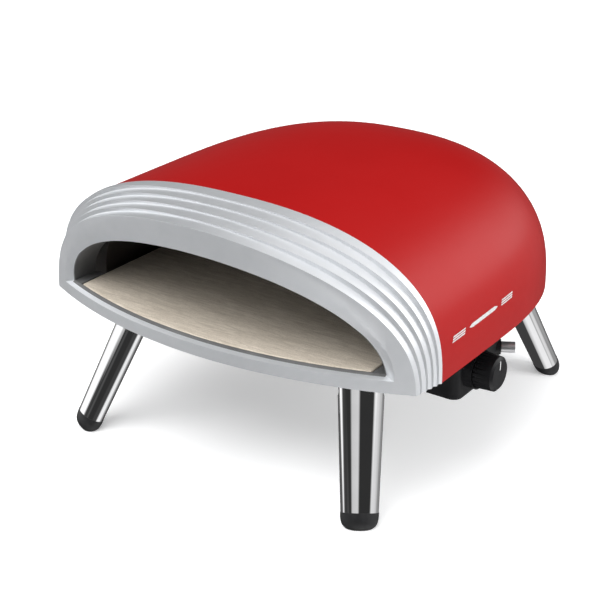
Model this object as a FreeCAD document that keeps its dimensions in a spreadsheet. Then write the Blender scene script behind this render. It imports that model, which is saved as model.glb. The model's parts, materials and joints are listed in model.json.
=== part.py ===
"""Countertop gas pizza oven, millimetres, +Z up.

The origin is on the resting surface, under the middle of the oven's bounding box. The mouth faces
-Y and the control knob is on the right, at +X. The sheet "Dims" holds the driving dimensions. A
length called ..._back is measured towards the rear from the joint plane between bezel and shell.
"""
import FreeCAD, Part
import math
import os
import re

from FreeCAD import Rotation, Vector

doc = FreeCAD.newDocument("PizzaOven")
sheet = doc.addObject("Spreadsheet::Sheet", "Dims")

DIMENSIONS = {
    # Outer shell: a superelliptic arch, straight at the front and domed at the rear.
    "border_y": -139.0,
    "shell_half_width": 215.0,
    "shell_height": 125.7,
    "shell_base": 141.0,
    "shell_wall": 1.2,
    "shell_lip": 15.0,
    "dome_back": 98.8,
    "shell_rear_back": 337.8,
    # Front bezel: five stepped bands behind a front that is bowed in plan.
    "bezel_depth": 70.0,
    "bow_radius": 478.0,
    "band_count": 5,
    "ridge_half_width": 205.6,
    "ridge_base": 131.0,
    "ridge_top": 259.1,
    "border_half_width": 215.8,
    "border_top": 267.6,
    "band_slope": 1.1,
    "bezel_bottom": 135.4,
    "bevel_half_width": 187.5,
    "bevel_top": 256.3,
    "lip_top": 148.0,
    "mouth_half_width": 177.0,
    "mouth_top": 232.2,
    "sill_top": 151.0,
    "bevel_depth": 4.0,
    "sill_depth": 7.0,
    "recess_depth": 8.2,
    "sleeve_wall": 1.2,
    "bezel_wall": 4.0,
    "gasket_thick": 1.0,
    # Floor: base pan, heat shield, stone tray and stone.
    "pan_bottom": 124.5,
    "pan_wall": 1.2,
    "pan_half_width": 170.0,
    "pan_front_back": -22.0,
    "pan_corner": 46.0,
    "pan_rear_back": 322.0,
    "flange_half_width": 208.0,
    "shield_bottom": 136.3,
    "shield_thick": 0.8,
    "tray_bottom": 138.3,
    "tray_thick": 1.0,
    "stone_half_width": 164.5,
    "stone_front_back": -61.5,
    "stone_rear_back": 240.0,
    "stone_thick": 12.0,
    "post_radius": 5.0,
    # Cooking chamber liner and its insulation.
    "liner_half_width": 172.0,
    "liner_top": 243.0,
    "liner_wall": 0.8,
    "liner_front_back": 10.0,
    "liner_rear_back": 303.0,
    "blanket_gap": 3.0,
    # Burner.
    "burner_back": 266.0,
    "burner_height": 178.0,
    "burner_radius": 11.0,
    "burner_half_length": 92.0,
    "burner_wall": 1.2,
    "port_radius": 1.2,
    "port_pitch": 11.0,
    "mixer_radius": 4.9,
    "mixer_height": 131.0,
    "mixer_start": 96.0,
    "mixer_bend": 30.0,
    "mixer_rise_bend": 20.0,
    "feed_radius": 3.0,
    "feed_x": 131.0,
    # Legs: hollow, oval, splayed outwards, folding on a pin.
    "foot_x": 162.8,
    "foot_front_back": -42.9,
    "foot_rear_back": 337.5,
    "hinge_height": 107.8,
    "leg_lean_x": 0.278,
    "leg_lean_y": 0.43,
    "leg_top_width": 42.0,
    "leg_top_thick": 28.0,
    "leg_end_width": 33.0,
    "leg_end_thick": 24.6,
    "leg_wall": 2.0,
    "foot_cap": 14.0,
    "leg_slot": 11.0,
    "tongue_thick": 10.0,
    "tongue_reach": 34.0,
    "leg_pin_radius": 4.0,
    "eye_radius": 9.5,
    "plate_thick": 1.5,
    # Controls.
    "knob_back": 112.6,
    "knob_height": 102.4,
    "knob_face": 214.5,
    "knob_length": 19.0,
    "knob_base_radius": 17.8,
    "knob_face_radius": 16.8,
    "knob_flutes": 24,
    "stem_radius": 4.0,
    "plug_radius": 7.0,
    "fit_gap": 0.05,
    "housing_left": 122.0,
    "housing_right": 185.5,
    "housing_front_back": 86.0,
    "housing_rear_back": 175.0,
    "housing_bottom": 77.0,
    "housing_wall": 2.0,
    "collar_radius": 19.6,
    "collar_bore": 18.4,
    "collar_length": 9.5,
    "inlet_radius": 5.3,
    "inlet_neck": 17.0,
    "inlet_length": 30.0,
    "inlet_angle": 30.0,
    "inlet_x": 172.0,
    "inlet_back": 160.0,
    "inlet_height": 101.0,
}

# Exponents of the superellipses: arch sections (across, up) and the dome (across, up).
RIDGE_POWERS = (1.95, 2.4)
SHELL_POWERS = (2.433, 2.734)
DOME_POWERS = (2.755, 4.5)
PAN_POWER = 5.0
LINER_DOME_POWERS = (5.0, 4.5)
BEVEL_POWERS = (2.0, 2.0)

X_AXIS, Y_AXIS, Z_AXIS = Vector(1, 0, 0), Vector(0, 1, 0), Vector(0, 0, 1)
ALONG_X = Rotation(Y_AXIS, 90)
ALONG_Y = Rotation(X_AXIS, -90)
UPRIGHT = Rotation()
ALIAS_PATTERN = re.compile(r"\b(" + "|".join(sorted(DIMENSIONS, key=len, reverse=True)) + r")\b")
NODES = []


def fill_sheet():
    for row, (alias, number) in enumerate(DIMENSIONS.items(), start=1):
        sheet.set("A%d" % row, alias)
        sheet.set("B%d" % row, str(number))
        sheet.setAlias("B%d" % row, alias)
    doc.recompute()


def dim(alias):
    return float(sheet.get(alias))


def back(alias):
    """The y of a place given as a distance behind the joint plane."""
    return dim("border_y") + dim(alias)


def bind(obj, prop, text):
    """Drive a property by an expression written with the sheet's aliases."""
    obj.setExpression(prop, ALIAS_PATTERN.sub(r"Dims.\1", str(text)))


def place(obj, at, turn=UPRIGHT):
    obj.Placement = FreeCAD.Placement(Vector(), turn)
    for axis, text in zip("xyz", at):
        bind(obj, "Placement.Base." + axis, text)
    return obj


def box(name, size, at):
    obj = doc.addObject("Part::Box", name)
    for prop, text in zip(("Length", "Width", "Height"), size):
        bind(obj, prop, text)
    return place(obj, at)




def cylinder(name, radius, length, at, turn=UPRIGHT):
    obj = doc.addObject("Part::Cylinder", name)
    bind(obj, "Radius", radius)
    bind(obj, "Height", length)
    return place(obj, at, turn)


def cone(name, radius, end_radius, length, at, turn=UPRIGHT):
    obj = doc.addObject("Part::Cone", name)
    bind(obj, "Radius1", radius)
    bind(obj, "Radius2", end_radius)
    bind(obj, "Height", length)
    return place(obj, at, turn)


def fuse(name, objects):
    obj = doc.addObject("Part::MultiFuse", name)
    obj.Shapes = objects
    return obj


def cut(name, base, tools):
    obj = doc.addObject("Part::Cut", name)
    obj.Base = base
    obj.Tool = tools[0] if len(tools) == 1 else fuse(name + "_tools", tools)
    return obj


def feature(name, shape):
    """A shape that no primitive or sketch makes."""
    obj = doc.addObject("Part::Feature", name)
    obj.Shape = shape
    return obj


def node(label, obj):
    obj.Label = label
    NODES.append(obj)
    return obj


# ---- curves -------------------------------------------------------------------------------------

def arch_points(half_width, base, top, powers, floor=None, count=33):
    """Points of an upright superelliptic arch, from its right foot to its left foot."""
    height = top - base
    start = 0.0
    if floor is not None and floor > base:
        start = math.asin(((floor - base) / height) ** (powers[1] / 2.0))
    points = []
    for index in range(count):
        angle = start + (math.pi - 2 * start) * index / (count - 1)
        across, up = math.cos(angle), max(math.sin(angle), 0.0)
        x = half_width * math.copysign(abs(across) ** (2 / powers[0]), across)
        points.append((x, base + height * up ** (2 / powers[1])))
    return points


def spline(points):
    curve = Part.BSplineCurve()
    curve.interpolate(points)
    return curve.toShape()


def arch_wire(outline, y):
    """A closed wire in the plane at y: the arch and the straight line under it."""
    arch = spline([Vector(x, y, z) for x, z in outline])
    foot = Part.makeLine(Vector(outline[-1][0], y, outline[-1][1]),
                         Vector(outline[0][0], y, outline[0][1]))
    return Part.Wire([arch, foot])


def arch_prism(outline, y_from, y_to):
    """The arch's region between two planes."""
    return Part.Face(arch_wire(outline, y_from)).extrude(Vector(0, y_to - y_from, 0))


def dome_scale(reach, powers):
    """How much of its width and height the dome keeps at a share of its length."""
    across = (1 - reach ** powers[0]) ** (1 / powers[0])
    up = (1 - reach ** powers[1]) ** (1 / powers[1])
    return across, up


def dome_solid(half_width, base, top, front_y, rear_y, powers=DOME_POWERS):
    """An arch that runs straight to the start of the dome, then closes towards the rear."""
    straight_y = back("dome_back")
    outline = arch_points(half_width, base, top, SHELL_POWERS)
    wires = []
    for share in (0.0, 0.35, 0.7, 0.9):
        wires.append(arch_wire(outline, front_y + share * (straight_y - front_y)))
    steps = 13
    for step in range(steps):
        reach = 0.992 * math.sin(0.5 * math.pi * step / (steps - 1)) ** 0.9
        across, up = dome_scale(reach, powers)
        scaled = [(x * across, base + (z - base) * up) for x, z in outline]
        wires.append(arch_wire(scaled, straight_y + reach * (rear_y - straight_y)))
    return Part.makeLoft(wires, True, False)


def plan_face(half_width, front_y, rear_y, z, power=DOME_POWERS[0], corner=0.0):
    """A level face with straight sides, a superelliptic rear and, if asked, round front corners."""
    straight_y = back("dome_back")
    count = 25
    points = []
    for index in range(count):
        angle = math.pi * index / (count - 1)
        across, deep = math.cos(angle), max(math.sin(angle), 0.0)
        x = half_width * math.copysign(abs(across) ** (2 / power), across)
        points.append(Vector(x, straight_y + (rear_y - straight_y) * deep ** (2 / power), z))
    left, right = Vector(-half_width, front_y, z), Vector(half_width, front_y, z)
    edges = [spline(points)]
    if corner:
        inside = corner * (1 - math.sqrt(0.5))
        up, along = Vector(0, corner, 0), Vector(corner, 0, 0)
        left_middle = left + Vector(inside, inside, 0)
        right_middle = right + Vector(-inside, inside, 0)
        edges.append(Part.makeLine(points[-1], left + up))
        edges.append(Part.Arc(left + up, left_middle, left + along).toShape())
        edges.append(Part.makeLine(left + along, right - along))
        edges.append(Part.Arc(right - along, right_middle, right + up).toShape())
        edges.append(Part.makeLine(right + up, points[0]))
    else:
        edges.append(Part.makeLine(points[-1], left))
        edges.append(Part.makeLine(left, right))
        edges.append(Part.makeLine(right, points[0]))
    return Part.Face(Part.Wire(edges))


def plan_plate(half_width, front_y, rear_y, z, thick, power=DOME_POWERS[0], corner=0.0):
    return plan_face(half_width, front_y, rear_y, z, power, corner).extrude(Vector(0, 0, thick))


def bow(x, share=1.0, depth=0.0):
    """The y of the bowed front, flattened in proportion to how near it is to the joint plane."""
    radius = dim("bow_radius")
    rise = radius - math.sqrt(radius * radius - x * x)
    return dim("border_y") + share * (rise - dim("bezel_depth")) + depth


def behind_bow(share, depth=0.0):
    """Everything behind the bowed front, as a large upright cylinder."""
    radius = dim("bow_radius") / share
    centre = Vector(0, bow(0, share, depth) + radius, 0)
    return Part.makeCylinder(radius, 400, centre)


def round_bar(points, radius, bends):
    """A round bar along straight runs joined by tangent arcs."""
    edges = []
    start = points[0]
    for corner, after, bend in zip(points[1:-1], points[2:], bends):
        incoming = (corner - start).normalize()
        outgoing = (after - corner).normalize()
        turn = incoming.getAngle(outgoing)
        reach = bend * math.tan(turn / 2)
        first, last = corner - incoming * reach, corner + outgoing * reach
        inward = (outgoing - incoming).normalize()
        middle = corner + inward * (bend / math.cos(turn / 2) - bend)
        edges.append(Part.makeLine(start, first))
        edges.append(Part.Arc(first, middle, last).toShape())
        start = last
    edges.append(Part.makeLine(start, points[-1]))
    direction = (points[1] - points[0]).normalize()
    profile = Part.Wire(Part.makeCircle(radius, points[0], direction))
    return Part.Wire(edges).makePipeShell([profile], True, False)


def drilled(placements, radius=2.2):
    """Upright clearance holes around a set of screws."""
    return [Part.makeCylinder(radius, 12, place_of.Base - Vector(0, 0, 3)) for place_of in placements]


# ---- casing -------------------------------------------------------------------------------------

def make_outer_shell():
    wall = dim("shell_wall")
    base = dim("shell_base")
    top = base + dim("shell_height")
    half_width = dim("shell_half_width")
    front_y, rear_y = dim("border_y") + dim("gasket_thick"), back("shell_rear_back")
    outer = dome_solid(half_width, base, top, front_y, rear_y)
    inner = dome_solid(half_width - wall, base - 0.01, top - wall, front_y - 0.01, rear_y - wall)
    skin = outer.cut(inner)
    lip = plan_plate(half_width - 0.5, front_y + 12, rear_y - 1.5, base, wall)
    lip = lip.cut(plan_plate(half_width - dim("shell_lip"), front_y, rear_y - dim("shell_lip"),
                             base, wall))
    lip = lip.common(outer).cut(drilled(pan_screw_places()))
    node("outer_shell", feature("OuterShell", skin.fuse(lip).removeSplitter()))


def band_outline(share, inset=0.0):
    """The bezel's outline, growing from the front ridge (0) to the joint plane (1)."""
    def between(first, last):
        return first + share * (last - first)
    half_width = between(dim("ridge_half_width"), dim("border_half_width")) - inset
    base = between(dim("ridge_base"), dim("shell_base"))
    top = between(dim("ridge_top"), dim("border_top")) - inset
    powers = [between(*pair) for pair in zip(RIDGE_POWERS, SHELL_POWERS)]
    floor = between(dim("bezel_bottom"), dim("shell_base")) + inset
    return arch_points(half_width, base, top, powers, floor)


def ring_wire(outline, place_y):
    """A closed wire of arch and foot whose y follows a function of x and the point's number."""
    arch = [Vector(x, place_y(x, index), z) for index, (x, z) in enumerate(outline)]
    half_width, lowest = outline[0]
    count = 15
    foot = []
    for index in range(count):
        x = -half_width * (1 - 2 * index / (count - 1))
        foot.append(Vector(x, place_y(x, 0), lowest))
    return Part.Wire([spline(arch), spline(foot)])


def mouth_outline(grow=0.0):
    return arch_points(dim("mouth_half_width") + grow, dim("sill_top") - grow,
                       dim("mouth_top") + grow, BEVEL_POWERS)


def mouth_rings():
    """The bevel's outer ring, the mouth's ring, and how deep the bevel is at each point."""
    bevel = arch_points(dim("bevel_half_width"), dim("lip_top"), dim("bevel_top"), BEVEL_POWERS)
    mouth = mouth_outline()
    lowest, height = dim("sill_top"), dim("mouth_top") - dim("sill_top")
    falls = [(1 - (point[1] - lowest) / height) ** 4 for point in mouth]
    extra = dim("sill_depth") - dim("bevel_depth")
    return bevel, mouth, falls, [dim("bevel_depth") + fall * extra for fall in falls]


def mouth_cutter():
    """The mouth: a shallow bevel through the front's bowed face, then a straight throat."""
    bevel, mouth, _, depths = mouth_rings()
    ahead = 1.0
    flared = []
    for (x, z), (mouth_x, mouth_z), depth in zip(bevel, mouth, depths):
        flared.append((x + (x - mouth_x) * ahead / depth, z + (z - mouth_z) * ahead / depth))
    wires = [
        ring_wire(flared, lambda x, index: dim("border_y") - 90),
        ring_wire(flared, lambda x, index: bow(x, 1.0, -ahead)),
        ring_wire(mouth, lambda x, index: bow(x, 1.0, depths[index])),
        ring_wire(mouth, lambda x, index: dim("border_y") + 5),
    ]
    return Part.makeLoft(wires, True, True)


def sleeve_seat():
    """The room for the throat's sleeve: it starts low on the sill's slope and behind the bevel."""
    _, mouth, falls, depths = mouth_rings()
    starts = [depth + 0.3 - 5.0 * fall for fall, depth in zip(falls, depths)]
    narrow = mouth_outline(-6.0)
    wide = mouth_outline(dim("sleeve_wall"))
    wires = [
        ring_wire(narrow, lambda x, index: dim("border_y") - 90),
        ring_wire(narrow, lambda x, index: bow(x, 1.0, starts[index])),
        ring_wire(wide, lambda x, index: bow(x, 1.0, starts[index] + 0.02)),
        ring_wire(wide, lambda x, index: dim("border_y") + 5),
    ]
    return Part.makeLoft(wires, True, True)


def stepped_skin():
    """The bezel's outside: bands that rise gently towards the rear, with a small step between."""
    count = int(dim("band_count"))
    slope = dim("band_slope")
    wires = [ring_wire(band_outline(0.0, slope), lambda x, index: dim("border_y") - 90)]
    for band in range(count):
        share = band / (count - 1.0)
        for inset, step in ((slope, 0), (0.0, 1)):
            reach = 1.0 - (band + step) / count
            ahead = -2.0 if reach == 1.0 else 0.0
            wires.append(ring_wire(band_outline(share, inset), lambda x, index: bow(x, reach, ahead)))
    return Part.makeLoft(wires, True, True)


def make_front_bezel():
    border_y = dim("border_y")
    count = int(dim("band_count"))
    solid = stepped_skin().common(behind_bow(1.0))
    wall = dim("bezel_wall")
    pocket = None
    for band in range(count):
        hollow = arch_prism(band_outline(band / (count - 1.0), wall), border_y - 90, border_y + 1)
        hollow = hollow.common(behind_bow(1.0 - band / count, 3 * wall))
        pocket = hollow if pocket is None else pocket.fuse(hollow)
    around = arch_prism(mouth_outline(wall), border_y - 100, border_y + 2)
    half_stone = dim("stone_half_width") + 1.5
    shelf = Part.makeBox(2 * half_stone + 8, 120, 30, Vector(-half_stone - 4, border_y - 100, 130))
    pocket = pocket.cut(around).cut(shelf)
    recess_floor = dim("tray_bottom")
    recess = Part.makeBox(2 * half_stone, 120, dim("sill_top") - recess_floor + 1,
                          Vector(-half_stone, border_y - 100, recess_floor))
    recess = recess.common(behind_bow(1.0, dim("recess_depth")))
    mouth, seat = mouth_cutter(), sleeve_seat()
    solid = solid.cut(mouth).cut(pocket).cut(recess).cut(seat)
    node("front_bezel", feature("FrontBezel", solid.removeSplitter()))
    behind = Part.makeBox(500, 60, 300, Vector(-250, border_y - 0.3, 0))
    sleeve = seat.cut(mouth).cut(recess).cut(behind)
    node("mouth_sleeve", feature("MouthSleeve", sleeve))


def make_bezel_gasket():
    y = dim("border_y")
    thick = dim("gasket_thick")
    outer = arch_prism(band_outline(1.0, 1.6), y, y + thick)
    inner = arch_prism(band_outline(1.0, 7.0), y - 1, y + thick + 1)
    below = Part.makeBox(420, thick + 2, 20, Vector(-210, y - 1, dim("shell_base") - 10))
    node("bezel_gasket", feature("BezelGasket", outer.cut([inner, below])))


def make_base_pan():
    wall = dim("pan_wall")
    bottom, flange_top = dim("pan_bottom"), dim("shell_base")
    half_width, corner = dim("pan_half_width"), dim("pan_corner")
    front_y, rear_y = back("pan_front_back"), back("pan_rear_back")
    depth = flange_top - bottom
    outer = plan_plate(half_width, front_y, rear_y, bottom, depth, PAN_POWER, corner)
    inner = plan_plate(half_width - wall, front_y + wall, rear_y - wall, bottom + wall, depth,
                       PAN_POWER, corner - wall)
    flange = plan_plate(dim("flange_half_width"), dim("border_y") + 2,
                        back("shell_rear_back") - 7, flange_top - wall, wall)
    opening = plan_plate(half_width - wall / 2, front_y - 10, back("liner_rear_back") - 2,
                         flange_top - wall - 1, 10, PAN_POWER)
    pan = outer.cut(inner).fuse(flange.cut(opening))
    slots = []
    for row in range(5):
        for side in (-1, 1):
            corner_at = Vector(side * 45 - 23, back("dome_back") + 30 * row, bottom - 4)
            slots.append(Part.makeBox(46, 5, 10, corner_at))
    feed_hole = Part.makeCylinder(5, 10, Vector(dim("feed_x"), back("knob_back"), bottom - 4))
    lead_hole = Part.makeCylinder(3, 10, Vector(dim("feed_x"), back("knob_back") + 30, bottom - 4))
    clear_from = dim("bezel_bottom") - 0.5
    under_bezel = Part.makeBox(420, 60, 20, Vector(-210, dim("border_y") - 59.7, clear_from))
    under_stone = Part.makeBox(337, 40, 20, Vector(-168.5, dim("border_y") - 22, clear_from))
    screws = drilled(bracket_screw_places() + pan_screw_places() + housing_screw_places())
    pan = pan.cut(slots + screws + [feed_hole, lead_hole, under_bezel, under_stone])
    node("base_pan", feature("BasePan", pan.removeSplitter()))


# ---- chamber ------------------------------------------------------------------------------------

def make_chamber():
    base = dim("shell_base")
    half_width, top, wall = dim("liner_half_width"), dim("liner_top"), dim("liner_wall")
    front_y, rear_y = back("liner_front_back"), back("liner_rear_back")
    outer = dome_solid(half_width, base, top, front_y, rear_y, LINER_DOME_POWERS)
    inner = dome_solid(half_width - wall, base - 0.01, top - wall, front_y - 0.01, rear_y - wall,
                       LINER_DOME_POWERS)
    node("chamber_liner", feature("ChamberLiner", outer.cut(inner)))

    rim_gap = 1.5
    shell_top = dim("shell_base") + dim("shell_height") - dim("shell_wall")
    shell_side = dim("shell_half_width") - dim("shell_wall")
    rim = arch_prism(arch_points(shell_side - rim_gap, dim("shell_base") + 3, shell_top - rim_gap,
                                 SHELL_POWERS), front_y - wall, front_y)
    hole = arch_prism(arch_points(half_width - wall, base, top - wall, SHELL_POWERS), front_y - 5,
                      front_y + 5)
    node("liner_front_ring", feature("LinerFrontRing", rim.cut(hole)))

    gap = dim("blanket_gap")
    blanket_base = dim("shell_base") + 6.0
    outer = dome_solid(shell_side - gap, blanket_base, shell_top - gap, front_y + 0.5,
                       back("shell_rear_back") - gap - 2)
    inner = dome_solid(half_width + 0.5, blanket_base - 0.01, top + 0.5, front_y + 0.4,
                       rear_y + 0.5, LINER_DOME_POWERS)
    node("insulation_blanket", feature("InsulationBlanket", outer.cut(inner)))


def make_stone():
    half_width = dim("stone_half_width")
    bottom = dim("tray_bottom") + dim("tray_thick")
    front_y, rear_y = back("stone_front_back"), back("stone_rear_back")
    slab = Part.makeBox(2 * half_width, rear_y - front_y, dim("stone_thick"),
                        Vector(-half_width, front_y, bottom))
    bow_offset = dim("stone_front_back") + dim("bezel_depth")
    slab = slab.common(behind_bow(1.0, bow_offset))
    upright = [edge for edge in slab.Edges
               if abs(edge.tangentAt(edge.FirstParameter).z) > 0.99 and edge.Vertexes[0].Y > 0]
    slab = slab.makeFillet(25.0, upright)
    rims = [edge for edge in slab.Edges if min(v.Z for v in edge.Vertexes) > bottom + 1]
    slab = slab.makeFillet(1.5, rims)
    node("pizza_stone", feature("PizzaStone", slab))


POST_PLACES = ((-140, 20), (140, 20), (-112, 96), (112, 96))


def riser_slot():
    """The slot that the bend of the mixing tube rises through."""
    radius = dim("mixer_radius") + 1
    reach = dim("mixer_rise_bend")
    end = Part.makeCylinder(radius, 40, Vector(0, back("burner_back"), 120))
    run = Part.makeBox(2 * radius, reach, 40, Vector(-radius, back("burner_back") - reach, 120))
    return end.fuse(run)


def make_tray():
    bottom, thick = dim("tray_bottom"), dim("tray_thick")
    half_width = dim("pan_half_width") - 3
    rear_y = back("pan_rear_back") - 4
    riser = riser_slot()
    wires = [Part.makeCylinder(3.0, 40, Vector(x, back("burner_back") - 1, 120)) for x in (40, 60)]
    front_y = dim("border_y") + 2
    tray = plan_plate(half_width, front_y, rear_y, bottom, thick, PAN_POWER, 18.0)
    tongue = Part.makeBox(2 * dim("stone_half_width"), 60, thick,
                          Vector(-dim("stone_half_width"), dim("border_y") - 50, bottom))
    tongue = tongue.common(behind_bow(1.0, dim("recess_depth") + 0.5))
    tray = tray.fuse(tongue).cut([riser] + wires)
    node("stone_tray", feature("StoneTray", tray.removeSplitter()))

    shield = plan_plate(half_width, front_y, rear_y, dim("shield_bottom"), dim("shield_thick"),
                        PAN_POWER, 18.0)
    radius = dim("post_radius") + 0.3
    holes = [Part.makeCylinder(radius, 40, Vector(x, y, 120)) for x, y in POST_PLACES]
    shield = shield.cut([riser] + wires + holes)
    node("heat_shield", feature("HeatShield", shield))

    posts = []
    for index, (x, y) in enumerate(POST_PLACES):
        posts.append(cylinder("Post%d" % index, "post_radius",
                              "tray_bottom - pan_bottom - pan_wall",
                              (x, y, "pan_bottom + pan_wall")))
    node("tray_posts", fuse("TrayPosts", posts))


# ---- burner and gas path ------------------------------------------------------------------------

def make_burner():
    at = ("-burner_half_length", "border_y + burner_back", "burner_height")
    tube = cylinder("BurnerTube", "burner_radius", "2 * burner_half_length", at, ALONG_X)
    bore = cylinder("BurnerBore", "burner_radius - burner_wall",
                    "2 * (burner_half_length - burner_wall)",
                    ("burner_wall - burner_half_length", at[1], at[2]), ALONG_X)
    port_turn = Rotation(X_AXIS, 55)
    ports = []
    for index in range(-7, 8):
        ports.append(cylinder("Port%d" % (index + 7), "port_radius", "burner_radius + 2",
                              ("%d * port_pitch" % index, at[1], at[2]), port_turn))
    riser_hole = cylinder("RiserHole", "mixer_radius", "burner_radius",
                          (0, at[1], "burner_height - burner_radius - 1"))
    node("burner_tube", cut("Burner", tube, [bore, riser_hole] + ports))

    height, y = dim("mixer_height"), back("knob_back")
    top = dim("burner_height") - dim("burner_radius") + 0.6
    route = [Vector(dim("mixer_start"), y, height), Vector(0, y, height),
             Vector(0, back("burner_back"), height), Vector(0, back("burner_back"), top)]
    bends = (dim("mixer_bend"), dim("mixer_rise_bend"))
    outer = round_bar(route, dim("mixer_radius"), bends)
    route[0] = route[0] + Vector(1, 0, 0)
    route[3] = route[3] + Vector(0, 0, 1)
    inner = round_bar(route, dim("mixer_radius") - 1.0, bends)
    windows = [Part.makeBox(10, 6, 30, Vector(dim("mixer_start") - 16, y - 3, height - 15))]
    node("mixing_tube", feature("MixingTube", outer.cut([inner] + windows)))

    brackets = []
    for index, side in enumerate((-1, 1)):
        upright = box("BurnerFoot%d" % index, ("16", "1.5", "burner_height - burner_radius - "
                      "tray_bottom - tray_thick"),
                      ("%d * (burner_half_length - 14) - 8" % side, "border_y + burner_back - 0.75",
                       "tray_bottom + tray_thick"))
        sole = box("BurnerSole%d" % index, ("16", "12", "1.5"),
                   ("%d * (burner_half_length - 14) - 8" % side, "border_y + burner_back - 0.75",
                    "tray_bottom + tray_thick"))
        brackets += [upright, sole]
    node("burner_brackets", fuse("BurnerBrackets", brackets))

    guard = box("GuardPlate", ("2 * burner_half_length", "1", "28"),
                ("-burner_half_length", "border_y + burner_back - 22", "tray_bottom + tray_thick"))
    guard_foot = box("GuardFoot", ("2 * burner_half_length", "6", "1"),
                     ("-burner_half_length", "border_y + burner_back - 22",
                      "tray_bottom + tray_thick"))
    node("flame_guard", fuse("FlameGuard", [guard, guard_foot]))


def make_gas_path():
    y, height = back("knob_back"), dim("knob_height")
    mixer_height, feed_x = dim("mixer_height"), dim("feed_x")
    route = [Vector(141, y, height), Vector(feed_x, y, height), Vector(feed_x, y, mixer_height),
             Vector(114, y, mixer_height)]
    node("gas_feed_pipe", feature("GasFeedPipe", round_bar(route, dim("feed_radius"), (7, 7))))

    hexagon = doc.addObject("Part::Prism", "InjectorHex")
    hexagon.Polygon = 6
    hexagon.Circumradius = 5.0
    hexagon.Height = 8.0
    place(hexagon, (106, "border_y + knob_back", "mixer_height"), ALONG_X)
    tip = cone("InjectorTip", "2", "4.5", "12", (94, "border_y + knob_back", "mixer_height"), ALONG_X)
    node("gas_injector", fuse("GasInjector", [hexagon, tip]))

    block = box("ValveBlock", ("30", "24", "24"), (141, "border_y + knob_back - 12",
                                                 "knob_height - 12"))
    bonnet = cylinder("ValveBonnet", "10", "12.3", (171, "border_y + knob_back", "knob_height"), ALONG_X)
    axis = ("border_y + knob_back", "knob_height")
    plug_bore = cylinder("PlugBore", "plug_radius + fit_gap", "25", (146,) + axis, ALONG_X)
    spring_bore = cylinder("SpringBore", "plug_radius", "10.5", (170.5,) + axis, ALONG_X)
    stem_bore = cylinder("BonnetBore", "stem_radius + fit_gap", "40", (165,) + axis, ALONG_X)
    body = fuse("ValveCasting", [block, bonnet])
    node("gas_valve_body", cut("GasValveBody", body, [plug_bore, spring_bore, stem_bore]))

    plug = cylinder("PlugBlank", "plug_radius", "22", (147,) + axis, ALONG_X)
    socket = cylinder("PlugSocket", "stem_radius + fit_gap", "18.5", (151,) + axis, ALONG_X)
    node("valve_plug", cut("ValvePlug", plug, [socket]))

    spindle = cylinder("Spindle", "stem_radius", "52", (156,) + axis, ALONG_X)
    shoulder = cylinder("Shoulder", "5.5", "1.5", (179,) + axis, ALONG_X)
    node("valve_stem", fuse("ValveStem", [spindle, shoulder]))

    inside = [Vector(169.8 + 1.2 * step, y + (4.4 if step % 2 else 6.0), height) for step in range(5)]
    outside = [point + Vector(0, 0.5, 0) for point in reversed(inside)]
    stack = Part.Face(Part.makePolygon(inside + outside + inside[:1]))
    coil = feature("ReturnSpring", stack.revolve(Vector(0, y, height), X_AXIS, 360))
    node("knob_return_spring", coil)


def inlet_place(along):
    """A place on the inlet's axis, which leaves the housing's rear corner level and outwards."""
    angle = math.radians(dim("inlet_angle"))
    at = Vector(dim("inlet_x"), back("inlet_back"), dim("inlet_height"))
    at += Vector(math.cos(angle), math.sin(angle), 0) * along
    return FreeCAD.Placement(at, Rotation(Z_AXIS, dim("inlet_angle")).multiply(ALONG_X))


def inlet_cylinder(name, radius, length, start):
    obj = doc.addObject("Part::Cylinder", name)
    bind(obj, "Radius", radius)
    bind(obj, "Height", length)
    obj.Placement = inlet_place(start)
    return obj


def make_inlet():
    neck = inlet_cylinder("InletNeck", "inlet_radius - 0.4", "inlet_neck", 0.0)
    spigot = inlet_cylinder("InletSpigot", "inlet_radius", "inlet_length - inlet_neck",
                            dim("inlet_neck"))
    bore = inlet_cylinder("InletBore", "inlet_radius - 2", "inlet_length", 5.0)
    node("gas_inlet", cut("GasInlet", fuse("InletBlank", [neck, spigot]), [bore]))

    elbow = [Vector(dim("inlet_x"), back("inlet_back"), dim("inlet_height")),
             Vector(158, back("inlet_back") - 8, dim("inlet_height")),
             Vector(158, back("knob_back") + 12, dim("inlet_height"))]
    node("inlet_pipe", feature("InletPipe", round_bar(elbow, 3.5, (8,))))


def housing_block(inset):
    """The control housing's outline in plan and from the side, pulled in by a wall."""
    left, right = dim("housing_left") + inset, dim("housing_right") - inset
    front, rear = back("housing_front_back") + inset, back("housing_rear_back") - inset
    bottom, top = dim("housing_bottom") + inset, dim("pan_bottom") + (5 if inset else -0.2)
    curve = 34.0 - inset
    start, end = Vector(left, rear - curve, bottom), Vector(left, rear, bottom + curve)
    middle = Vector(left, rear - curve * (1 - math.sqrt(0.5)), bottom + curve * (1 - math.sqrt(0.5)))
    corner_a, corner_b = Vector(left, rear, top), Vector(left, front, top)
    corner_c = Vector(left, front, bottom)
    edges = [Part.makeLine(corner_c, start), Part.Arc(start, middle, end).toShape(),
             Part.makeLine(end, corner_a), Part.makeLine(corner_a, corner_b),
             Part.makeLine(corner_b, corner_c)]
    side = Part.Face(Part.Wire(edges)).extrude(Vector(right - left, 0, 0))
    plan = Part.makeBox(right - left, rear - front, top - bottom, Vector(left, front, bottom))
    upright = [edge for edge in plan.Edges if abs(edge.tangentAt(edge.FirstParameter).z) > 0.99]
    plan = plan.makeFillet(9.0 - inset, upright)
    return plan.common(side)


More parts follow.
